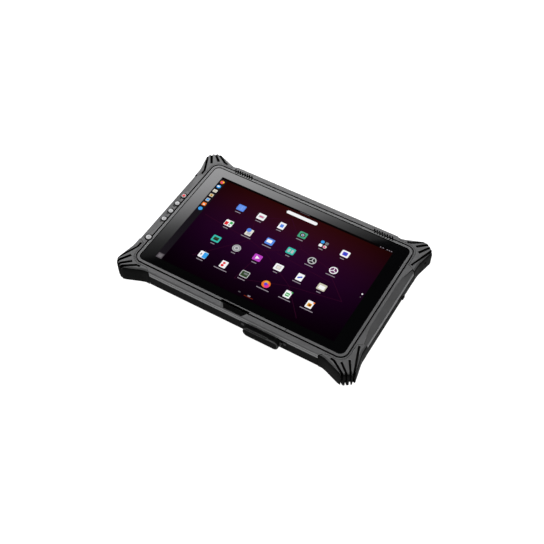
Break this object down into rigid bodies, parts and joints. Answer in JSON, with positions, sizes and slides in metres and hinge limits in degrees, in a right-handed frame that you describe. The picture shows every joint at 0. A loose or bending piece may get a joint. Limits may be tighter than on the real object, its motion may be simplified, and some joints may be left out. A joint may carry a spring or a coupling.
{
  "type": "rugged data collector tablet",
  "caption": "Rugged handheld tablet for field data collection, with corner bumpers, side keys, covered ports and a latched battery.",
  "frame": {"origin": "under the tablet's middle, on the surface that the four corner bumpers rest on", "axes": "+X along the long edge to the right, +Y towards the top of the screen, +Z out of the screen"},
  "size_m": [0.2888, 0.1974, 0.0225],
  "materials": {
    "grey_polymer": "fine spark texture",
    "black_polymer": "fine spark texture",
    "bumper_rubber": "soft matte, moulded on to the housing",
    "cover_rubber": "soft matte",
    "rim_polymer": "fine satin",
    "black_glass": "polished, black printed border",
    "display": null,
    "seal_rubber": "foam",
    "magnesium": "die-cast",
    "circuit_board": "solder mask",
    "copper": "rolled copper",
    "key_silver": "silver coated",
    "light_lens": "clear",
    "connector_steel": "plated",
    "screw_steel": "black oxide",
    "battery_case": "fine texture",
    "lens_glass": "polished",
    "ceramic": "fired ceramic"
  },
  "bodies": {
    "tablet": {"cover_glass": "black_glass", "display_panel": "display", "display_bezel": "rim_polymer", "front_housing": "grey_polymer", "corner_bumper_top_left": "bumper_rubber", "corner_bumper_top_right": "bumper_rubber", "corner_bumper_bottom_left": "bumper_rubber", "corner_bumper_bottom_right": "bumper_rubber", "rear_housing": "black_polymer", "status_light_1": "light_lens", "status_light_2": "light_lens", "port_module_frame": "black_polymer", "port_module_screw_left": "screw_steel", "port_module_screw_right": "screw_steel", "glass_gasket": "seal_rubber", "chassis_frame": "magnesium", "housing_seal": "seal_rubber", "main_board": "circuit_board", "heat_spreader": "copper", "io_board": "circuit_board", "usb_a_port": "connector_steel", "usb_c_port": "connector_steel", "hdmi_port": "connector_steel", "power_jack": "black_polymer", "serial_connector": "connector_steel", "button_board": "circuit_board", "power_switch": "circuit_board", "speaker_left": "black_polymer", "speaker_right": "black_polymer", "microphone": "connector_steel", "battery_pack": "battery_case", "battery_connector": "black_polymer", "rear_camera_window": "lens_glass", "rear_camera_module": "black_polymer", "flash_window": "light_lens", "dock_connector": "black_polymer", "wireless_antenna": "black_polymer", "gnss_antenna": "ceramic", "housing_screw_1": "screw_steel", "housing_screw_2": "screw_steel", "housing_screw_3": "screw_steel", "housing_screw_4": "screw_steel", "housing_screw_5": "screw_steel", "housing_screw_6": "screw_steel", "housing_screw_7": "screw_steel", "housing_screw_8": "screw_steel"},
    "function_key_1": {"function_button_1": "key_silver"},
    "function_key_2": {"function_button_2": "key_silver"},
    "function_key_3": {"function_button_3": "key_silver"},
    "function_key_4": {"function_button_4": "key_silver"},
    "power_key": {"power_button": "key_silver"},
    "serial_cover": {"serial_port_cover": "cover_rubber"},
    "side_cover": {"side_port_cover": "cover_rubber"},
    "latch_left": {"battery_latch_left": "cover_rubber"},
    "latch_right": {"battery_latch_right": "cover_rubber"}
  },
  "joints": [
    {"name": "function_key_1_press", "type": "slide", "parent": "tablet", "child": "function_key_1", "axis": [0, 0, -1], "range_m": [0, 0.0008], "stiffness_N_per_m": 1000},
    {"name": "function_key_2_press", "type": "slide", "parent": "tablet", "child": "function_key_2", "axis": [0, 0, -1], "range_m": [0, 0.0008], "stiffness_N_per_m": 1000},
    {"name": "function_key_3_press", "type": "slide", "parent": "tablet", "child": "function_key_3", "axis": [0, 0, -1], "range_m": [0, 0.0008], "stiffness_N_per_m": 1000},
    {"name": "function_key_4_press", "type": "slide", "parent": "tablet", "child": "function_key_4", "axis": [0, 0, -1], "range_m": [0, 0.0008], "stiffness_N_per_m": 1000},
    {"name": "power_key_press", "type": "slide", "parent": "tablet", "child": "power_key", "axis": [0, 0, -1], "range_m": [0, 0.0008], "stiffness_N_per_m": 1200},
    {"name": "serial_cover_swing", "type": "hinge", "parent": "tablet", "child": "serial_cover", "pos_m": [0.0613, -0.0916, 0.0101], "axis": [0, 0, 1], "range_deg": [0, 110]},
    {"name": "side_cover_swing", "type": "hinge", "parent": "tablet", "child": "side_cover", "pos_m": [0.1399, -0.03035, 0.0096], "axis": [0, 0, -1], "range_deg": [0, 120]},
    {"name": "latch_left_slide", "type": "slide", "parent": "tablet", "child": "latch_left", "axis": [-1, 0, 0], "range_m": [0, 0.004], "stiffness_N_per_m": 200},
    {"name": "latch_right_slide", "type": "slide", "parent": "tablet", "child": "latch_right", "axis": [1, 0, 0], "range_m": [0, 0.004], "stiffness_N_per_m": 200}
  ]
}
